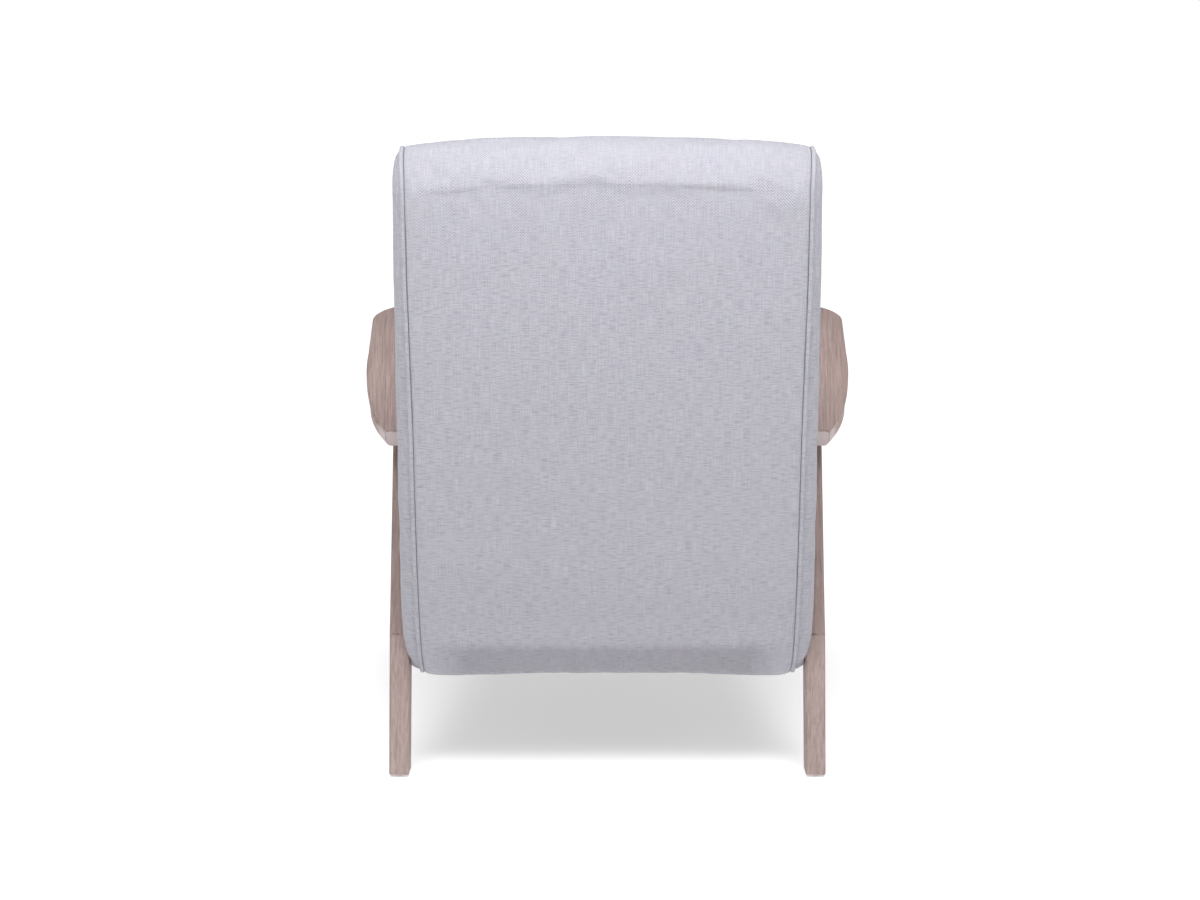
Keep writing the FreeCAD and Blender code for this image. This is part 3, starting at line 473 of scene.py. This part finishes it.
def make_piping(name, part, sign, edge, material):
    """Corded edge along a seam, just outside it."""
    centre = edge / MM
    along = np.gradient(centre, axis=0)
    along /= np.linalg.norm(along, axis=1)[:, None]
    across = np.tile(np.array((sign, 0.0, 0.0)), (len(centre), 1))
    out = np.cross(along, across) * sign
    rearward = out[len(out) // 3][1] > 0
    if rearward != (part == "back"):
        out = -out
    middle = centre + across * (PIPING_RADIUS + PIPING_GAP) + out * PIPING_RISE
    segments = PIPING_SEGMENTS
    turns = np.linspace(0, 2 * math.pi, segments, endpoint=False)
    rings = [middle + PIPING_RADIUS * (math.cos(t) * across + math.sin(t) * out) for t in turns]
    points = np.stack(rings, axis=1).reshape(-1, 3)
    run = np.concatenate(([0.0], np.cumsum(np.linalg.norm(np.diff(middle, axis=0), axis=1))))
    around = turns * PIPING_RADIUS
    uv = np.stack(np.broadcast_arrays(around[None, :], run[:, None]), axis=-1).reshape(-1, 2)
    faces = []
    last = (len(centre) - 1) * segments
    for ring in range(0, last, segments):
        for j in range(segments):
            k = (j + 1) % segments
            faces.append((ring + j, ring + k, ring + segments + k, ring + segments + j))
    faces.append(tuple(range(segments))[::-1])
    faces.append(tuple(last + j for j in range(segments)))
    obj = new_object(f"{part}_piping_cord_{name}", points * MM, faces, uv * MM)
    recalculate_normals(obj)
    divide = obj.modifiers.new("smooth", "SUBSURF")
    divide.levels = divide.render_levels = 1
    apply_modifiers(obj)
    obj.data.materials.append(material)
    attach(obj, "root")
    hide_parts(f"{part}_piping_{name}")


def recalculate_normals(obj):
    """Turns every face of a closed mesh outwards."""
    work = bmesh.new()
    work.from_mesh(obj.data)
    bmesh.ops.recalc_face_normals(work, faces=work.faces)
    work.to_mesh(obj.data)
    work.free()


# ---- materials -----------------------------------------------------------------------------------
class Nodes:
    """Short forms for building a node tree."""

    def __init__(self, name):
        self.material = bpy.data.materials.new(name)
        self.material.use_nodes = True
        self.tree = self.material.node_tree
        self.shader = self.tree.nodes["Principled BSDF"]

    def fill(self, socket, value):
        """A link where the value is a socket of another node, otherwise a constant."""
        if isinstance(value, bpy.types.NodeSocket):
            self.tree.links.new(value, socket)
        else:
            socket.default_value = value

    def add(self, kind, **inputs):
        node = self.tree.nodes.new(kind)
        for key, value in inputs.items():
            self.fill(node.inputs[key.replace("_", " ")], value)
        return node

    def link(self, source, target):
        self.tree.links.new(source, target)

    def math(self, operation, *values):
        node = self.tree.nodes.new("ShaderNodeMath")
        node.operation = operation
        for socket, value in zip(node.inputs, values):
            self.fill(socket, value)
        return node.outputs[0]

    def mix(self, factor, a, b, blend="MIX"):
        node = self.tree.nodes.new("ShaderNodeMix")
        node.data_type = "RGBA"
        node.blend_type = blend
        for socket, value in ((node.inputs[0], factor), (node.inputs[6], a), (node.inputs[7], b)):
            self.fill(socket, value)
        return node.outputs[2]

    def noise(self, vector, scale, detail=2.0, roughness=0.5, distortion=0.0):
        node = self.add("ShaderNodeTexNoise", Scale=scale, Detail=detail, Roughness=roughness,
                        Distortion=distortion)
        self.link(vector, node.inputs["Vector"])
        return node.outputs["Fac"]

    def mapping(self, vector, scale=(1, 1, 1), rotation=(0, 0, 0)):
        node = self.add("ShaderNodeMapping", Scale=scale, Rotation=rotation)
        self.link(vector, node.inputs["Vector"])
        return node.outputs["Vector"]

    def spread(self, value, low, high, to_low=0.0, to_high=1.0):
        node = self.tree.nodes.new("ShaderNodeMapRange")
        self.link(value, node.inputs["Value"])
        ends = {"From Min": low, "From Max": high, "To Min": to_low, "To Max": to_high}
        for name, number in ends.items():
            node.inputs[name].default_value = number
        return node.outputs["Result"]

    def bump(self, height, distance):
        node = self.add("ShaderNodeBump", Strength=1.0, Distance=distance)
        self.link(height, node.inputs["Height"])
        return node.outputs["Normal"]


def srgb(red, green, blue):
    """Linear colour from 0-255 display values."""
    def linear(v):
        v /= 255.0
        return v / 12.92 if v <= 0.04045 else ((v + 0.055) / 1.055) ** 2.4
    return (linear(red), linear(green), linear(blue), 1.0)


def fabric_material(name, stripe=0.014, pitch=0.0038, shade_turned_under=False):
    """Herringbone wool: diagonal ribs that turn back at each stripe, slubs along warp and weft.

    The ribs show most at the top, where the cloth is taut over the roll. On request, painted shade
    darkens the stretch turned under the back between its corners.
    """
    n = Nodes(name)
    uv_map = n.add("ShaderNodeUVMap")
    uv_map.uv_map = "weave"
    coords = uv_map.outputs["UV"]
    split = n.add("ShaderNodeSeparateXYZ", Vector=coords)
    across, along = split.outputs["X"], split.outputs["Y"]
    wander = n.math("MULTIPLY", n.math("SUBTRACT", n.noise(coords, 40.0), 0.5), 0.0012)
    zigzag = n.math("PINGPONG", n.math("ADD", across, wander), stripe)
    diagonal = n.math("ADD", along, zigzag)
    rib = n.math("SINE", n.math("MULTIPLY", diagonal, 2 * math.pi / pitch))
    turn = n.math("ABSOLUTE", n.math("SUBTRACT", n.math("DIVIDE", zigzag, stripe), 0.5))
    ridge = n.spread(turn, 0.42, 0.5)
    warp = n.noise(n.mapping(coords, scale=(700.0, 34.0, 1.0)), 1.0, 3.0)
    weft = n.noise(n.mapping(coords, scale=(80.0, 640.0, 1.0)), 1.0, 3.0)
    fibre = n.noise(coords, 2600.0, 2.0)
    tone = n.noise(coords, 9.0, 3.0)
    strength = n.spread(n.noise(coords, 22.0, 2.0), 0.4, 0.66, 0.12, 0.85)
    taut = n.spread(along, 0.62, 0.70)
    strength = n.math("MULTIPLY", strength, n.spread(taut, 0.0, 1.0, 0.6, 1.3))
    weave = n.math("MULTIPLY", rib, strength)
    height = n.math("ADD", n.math("MULTIPLY", weave, 0.4), n.math("MULTIPLY", fibre, 0.8))
    height = n.math("ADD", height, n.math("ADD", warp, weft))
    height = n.math("SUBTRACT", height, n.math("MULTIPLY", ridge, 0.25))
    light, dark = srgb(188, 187, 195), srgb(142, 141, 150)
    base = n.mix(n.spread(weave, -1.0, 1.0, 0.05, 0.95), dark, light)
    base = n.mix(n.spread(warp, 0.42, 0.68, 0.0, 0.32), base, srgb(200, 199, 206))
    slub = n.spread(weft, 0.45, 0.72, 0.0, 0.62)
    slub = n.math("MULTIPLY", slub, n.spread(taut, 0.0, 1.0, 1.0, 0.6))
    base = n.mix(slub, base, srgb(128, 128, 138))
    base = n.mix(n.spread(tone, 0.3, 0.7, 0.0, 0.10), base, srgb(170, 167, 170))
    if shade_turned_under:
        # Painted shade: the middle of the strip turned under the back is darkened between its corners.
        under = n.spread(n.math("ABSOLUTE", across), 0.235, 0.19)
        under = n.math("MULTIPLY", under, n.spread(along, 0.112, 0.096, 0.0, 0.27))
        base = n.mix(under, base, (0.05, 0.03, 0.04, 1.0))
    n.link(base, n.shader.inputs["Base Color"])
    n.link(n.spread(fibre, 0.3, 0.7, 0.82, 0.95), n.shader.inputs["Roughness"])
    n.link(n.bump(height, 0.00035), n.shader.inputs["Normal"])
    n.shader.inputs["Sheen Weight"].default_value = 0.25
    n.shader.inputs["Sheen Roughness"].default_value = 0.5
    n.shader.inputs["Sheen Tint"].default_value = (0.95, 0.96, 1.0, 1.0)
    n.shader.inputs["Specular IOR Level"].default_value = 0.2
    return n.material


def wood_material(name, rotation, tint, low_tint=None, figure=0.0, end_at=None):
    """Limed ash: straight fine grain, pores, paler end grain that is partly painted light, dark rubbed
    spots at the arrises.

    rotation turns the grain along the board. low_tint is the tone below the rear legs' kink. end_at
    is where the board ends along its grain: painted light pales its end and the sides near it, it is
    rubbed across the top, and painted shade darkens the board away from that end.
    """
    n = Nodes(name)
    coords = n.add("ShaderNodeTexCoord").outputs["Object"]
    grain = n.mapping(coords, rotation=rotation)
    slow = n.noise(n.mapping(grain, scale=(14.0, 14.0, 2.2)), 1.0, 3.0, 0.5, 0.6)
    stretch = 3.0 + 9.0 * figure
    rings = n.noise(n.mapping(grain, scale=(210.0, 95.0, stretch)), 1.0, 3.0, 0.55, 0.25 + figure)
    pores = n.noise(n.mapping(grain, scale=(1500.0, 1500.0, 30.0)), 1.0, 3.0, 0.6)
    streaks = n.noise(n.mapping(grain, scale=(520.0, 520.0, 7.0)), 1.0, 4.0, 0.65)
    pale, mid, dark = srgb(198, 178, 172), srgb(178, 158, 151), srgb(134, 112, 104)
    base = n.mix(n.spread(rings, 0.36, 0.64), pale, mid)
    base = n.mix(n.spread(streaks, 0.42, 0.68, 0.0, 0.6), base, dark)
    base = n.mix(n.spread(pores, 0.56, 0.7, 0.0, 0.45), base, srgb(112, 92, 84))
    base = n.mix(n.spread(slow, 0.35, 0.7, 0.0, 0.35), base, srgb(186, 164, 155))
    soft = n.add("ShaderNodeBevel", Radius=0.004)
    normal = n.add("ShaderNodeNewGeometry").outputs["Normal"]
    facing = n.tree.nodes.new("ShaderNodeVectorMath")
    facing.operation = "DOT_PRODUCT"
    n.link(soft.outputs["Normal"], facing.inputs[0])
    n.link(normal, facing.inputs[1])
    turned = n.add("ShaderNodeSeparateXYZ", Vector=n.mapping(normal, rotation=rotation))
    # Faces across the grain are paled below: partly the end grain's own tone, partly painted light on
    # faces turned to the light.
    end_grain_and_painted_light = n.spread(n.math("ABSOLUTE", turned.outputs["Z"]), 0.35, 0.75)
    if end_at is not None:
        level = n.mapping(coords, rotation=(rotation[0], 0.0, 0.0))
        run = n.add("ShaderNodeSeparateXYZ", Vector=level).outputs["Z"]
        # Painted light: the sides next to the board's end are paled as if lit.
        side_painted_light = n.spread(n.math("ABSOLUTE", turned.outputs["X"]), 0.4, 0.7)
        side_painted_light = n.math("MULTIPLY", side_painted_light, n.spread(run, end_at + 0.036, end_at + 0.018))
        end_grain_and_painted_light = n.math("MAXIMUM", end_grain_and_painted_light, side_painted_light)
    base = n.mix(n.math("MULTIPLY", end_grain_and_painted_light, 0.8), base, srgb(212, 201, 199))
    edge = n.spread(facing.outputs["Value"], 0.995, 0.86)
    worn_noise = n.noise(coords, 160.0, 2.0)
    worn = n.math("MULTIPLY", edge, n.spread(worn_noise, 0.48, 0.62, 0.3, 1.0))
    base = n.mix(n.math("MULTIPLY", worn, 0.8), base, srgb(84, 62, 55))
    if end_at is not None:
        rubbed = n.spread(run, end_at + 0.0042, end_at + 0.0015)
        rubbed = n.math("MULTIPLY", rubbed, n.spread(worn_noise, 0.42, 0.55, 0.3, 1.0))
        rubbed = n.math("MULTIPLY", rubbed, n.math("SUBTRACT", 0.75, end_grain_and_painted_light))
        base = n.mix(rubbed, base, srgb(96, 70, 62))
        # Painted shade: the board darkens by up to a fifth away from its end, towards the arm's front.
        base = n.mix(1.0, base, n.spread(run, 0.0, 0.4, 1.0, 0.8), "MULTIPLY")
    colour = tuple(tint) + (1.0,)
    if low_tint:
        height = n.add("ShaderNodeSeparateXYZ", Vector=coords).outputs["Z"]
        low = n.spread(height, KINK_HEIGHT - 0.004, KINK_HEIGHT + 0.004)
        colour = n.mix(low, tuple(low_tint) + (1.0,), colour)
        off = n.math("ABSOLUTE", n.math("SUBTRACT", height, KINK_HEIGHT))
        joint = n.spread(off, 0.0022, 0.0006)
        joint = n.math("MULTIPLY", joint, n.spread(n.noise(coords, 210.0), 0.42, 0.6))
        base = n.mix(n.math("MULTIPLY", joint, 0.6), base, srgb(84, 62, 55))
    base = n.mix(1.0, base, colour, "MULTIPLY")
    n.link(base, n.shader.inputs["Base Color"])
    n.link(n.spread(streaks, 0.3, 0.7, 0.50, 0.68), n.shader.inputs["Roughness"])
    height = n.math("ADD", n.math("MULTIPLY", pores, 0.6), streaks)
    n.link(n.bump(height, 0.00018), n.shader.inputs["Normal"])
    n.shader.inputs["Specular IOR Level"].default_value = 0.3
    return n.material


def plain_material(name, colour, roughness, metallic=0.0, scale=180.0):
    """Hidden parts: a little mottling and grain in the colour and the surface."""
    n = Nodes(name)
    coords = n.add("ShaderNodeTexCoord").outputs["Object"]
    grain = n.noise(coords, scale, 4.0, 0.6)
    dark = tuple(c * 0.7 for c in colour[:3]) + (1.0,)
    n.link(n.mix(grain, dark, colour), n.shader.inputs["Base Color"])
    n.link(n.spread(grain, 0.3, 0.7, roughness - 0.08, roughness + 0.08), n.shader.inputs["Roughness"])
    n.link(n.bump(grain, 0.0002), n.shader.inputs["Normal"])
    n.shader.inputs["Metallic"].default_value = metallic
    return n.material


def dress(node, material):
    """One material on every face of a CAD node."""
    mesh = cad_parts[node].data
    mesh.materials.clear()
    mesh.materials.append(material)
    mesh.polygons.foreach_set("material_index", [0] * len(mesh.polygons))


def dress_frame():
    """Wood grain runs along each board; hidden pieces get plain working materials."""
    lean = math.radians
    slope = lean(10.1 - 90.0)
    arms = {}
    for name, sign in SIDES:
        turn = (slope, lean(-5.0 * sign), 0.0)
        arms[name] = wood_material(f"ash_arm_{name}", turn, ARM_TINT, end_at=ARM_END)
    rear_leg = wood_material("ash_rear_leg", (lean(-17.0), 0.0, 0.0), LEG_TINT, LEG_TINT_LOW, 0.9)
    front_leg = wood_material("ash_front_leg", (lean(10.5), 0.0, 0.0), LEG_TINT, LEG_TINT_LOW, 0.4)
    rail = wood_material("ash_rail", (slope, 0.0, 0.0), RAIL_TINT)
    for name, _ in SIDES:
        dress(f"arm_{name}", arms[name])
        dress(f"rear_leg_{name}", rear_leg)
        dress(f"front_leg_{name}", front_leg)
        dress(f"side_rail_{name}", rail)
    timber = plain_material("frame_timber", srgb(196, 160, 116), 0.7, scale=60.0)
    steel = plain_material("zinc_steel", srgb(176, 178, 184), 0.35, 1.0, 400.0)
    plastic = plain_material("glide_plastic", srgb(70, 62, 58), 0.5)
    strap = plain_material("webbing", srgb(74, 72, 68), 0.85, scale=900.0)
    hidden = {
        timber: ["arm_dowels", "rail_dowels", "seat_front_rail", "seat_rear_rail", "corner_blocks",
                 "back_top_rail", "back_lumbar_rail"]
        + [f"{part}_{name}" for name, _ in SIDES for part in ("seat_side_rail", "back_post")],
        steel: ["seat_springs", "spring_clips", "frame_bolts", "bolt_washers", "threaded_inserts"],
        plastic: ["foot_glides"],
        strap: ["back_webbing"],
    }
    for material, nodes in hidden.items():
        for node in nodes:
            dress(node, material)


def make_dust_cover():
    """Thin black cloth tacked under the seat frame, with a slight sag and fine tension folds."""
    low, high = (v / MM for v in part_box("dust_cover"))
    columns, rows = 41, 49
    u = np.linspace(-1, 1, columns)[None, :]
    v = np.linspace(0, 1, rows)[:, None]
    y = low[1] + (high[1] - low[1]) * v
    z = high[2] + (low[2] - high[2]) * v
    sag = (DUST_SAG * (1 - u**2) + 0.5 * np.sin(u * 40)) * (1 - (2 * v - 1) ** 2)
    x, y, z = np.broadcast_arrays(u * DUST_HALF_WIDTH, y, z - sag)
    points = np.stack((x, y, z), axis=-1).reshape(-1, 3) * MM
    uvs = np.stack((x, y), axis=-1).reshape(-1, 2) * MM
    obj = new_object("dust_cloth", points, grid_faces(rows, columns), uvs)
    solid = obj.modifiers.new("thickness", "SOLIDIFY")
    solid.thickness = 0.8 * MM
    apply_modifiers(obj)
    obj.data.materials.append(plain_material("dust_cloth", srgb(44, 44, 48), 0.9, scale=1400.0))
    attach(obj, "root")
    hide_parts("dust_cover")


# ---- floor, light, camera ------------------------------------------------------------------------
def make_stage():
    """Pale floor that gives off a little light of its own, so that it fades into the white."""
    points = [(-60, -60, 0), (60, -60, 0), (60, 60, 0), (-60, 60, 0)]
    floor = new_object("floor", points, [(0, 1, 2, 3)], smooth=False)
    n = Nodes("floor_paper")
    coords = n.add("ShaderNodeTexCoord").outputs["Object"]
    n.link(n.mix(n.noise(coords, 3.0), (0.74, 0.74, 0.74, 1), (0.77, 0.77, 0.77, 1)),
           n.shader.inputs["Base Color"])
    n.shader.inputs["Emission Color"].default_value = (1.0, 1.0, 1.0, 1)
    n.shader.inputs["Emission Strength"].default_value = 0.52
    n.shader.inputs["Roughness"].default_value = 0.9
    n.shader.inputs["Specular IOR Level"].default_value = 0.1
    floor.data.materials.append(n.material)


def make_world():
    """White to the eye, dimmer as a light source."""
    world = bpy.data.worlds.new("studio")
    world.use_nodes = True
    tree = world.node_tree
    path = tree.nodes.new("ShaderNodeLightPath")
    level = tree.nodes.new("ShaderNodeMapRange")
    level.inputs["To Min"].default_value = 0.16
    level.inputs["To Max"].default_value = 1.0
    tree.links.new(path.outputs["Is Camera Ray"], level.inputs["Value"])
    background = tree.nodes["Background"]
    background.inputs["Color"].default_value = (1.0, 1.0, 1.0, 1)
    tree.links.new(level.outputs["Result"], background.inputs["Strength"])
    bpy.context.scene.world = world
    bpy.context.scene.view_settings.view_transform = "Standard"


def place_light(name, kind, energy, place, target, colour):
    """A light at one place, aimed at another."""
    light = bpy.data.lights.new(name, kind)
    light.energy = energy
    light.color = colour
    obj = bpy.data.objects.new(name, light)
    obj.location = place
    obj.rotation_euler = (Vector(target) - Vector(place)).to_track_quat("-Z", "Y").to_euler()
    bpy.context.scene.collection.objects.link(obj)
    return light


def make_lights():
    """High soft key, a close cool softbox above the rear of the back, a weak panel on each side."""
    key = place_light("key", "SUN", 2.2, (0.0, 1.7, 4.0), (0.0, 0.3, 0.2), (1.0, 0.993, 0.98))
    key.angle = math.radians(50.0)
    box = place_light("softbox", "AREA", 12.5, (0.0, 0.95, 1.55), (0.0, 0.36, 0.76), (0.95, 0.97, 1.0))
    box.shape = "RECTANGLE"
    box.size, box.size_y = 1.4, 0.5
    for name, sign in SIDES:
        panel = place_light(f"panel_{name}", "AREA", 2.2, (1.9 * sign, 1.2, 1.1), (0.2 * sign, 0.2, 0.5),
                            (0.96, 0.97, 1.0))
        panel.shape = "RECTANGLE"
        panel.size, panel.size_y = 0.8, 1.4


def make_camera():
    """Behind the chair and a little above it, looking down by the pitch angle."""
    pitch = math.radians(9.5)
    distance, height = 2.8857, 0.9323
    rear_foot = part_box("rear_leg_left")[1][1]
    camera = bpy.data.cameras.new("camera")
    camera.lens = 66.6
    camera.sensor_width = 36.0
    camera.dof.use_dof = False
    camera.shift_x = -0.0061667
    obj = bpy.data.objects.new("camera", camera)
    obj.location = (0.0, rear_foot + distance, height)
    obj.rotation_euler = (math.pi / 2 - pitch, 0.0, math.pi)
    camera.clip_start, camera.clip_end = 0.05, 60
    bpy.context.scene.collection.objects.link(obj)
    bpy.context.scene.camera = obj


def main():
    make_camera()
    cloth = fabric_material("herringbone", shade_turned_under=True)
    cord = fabric_material("herringbone_piping", stripe=0.02, pitch=0.0018)
    back_edges = make_back_cover(cloth)
    seat_edges = make_seat_cover(cloth)
    grid = press_map()
    for name, sign in SIDES:
        outline = side_outline(back_edges[name], seat_edges[name])
        make_side_cover(name, sign, outline, cloth, grid)
        make_piping(name, "back", sign, back_edges[name], cord)
        make_piping(name, "seat", sign, seat_edges[name], cord)
    make_dust_cover()
    dress_frame()
    make_stage()
    make_world()
    make_lights()


main()
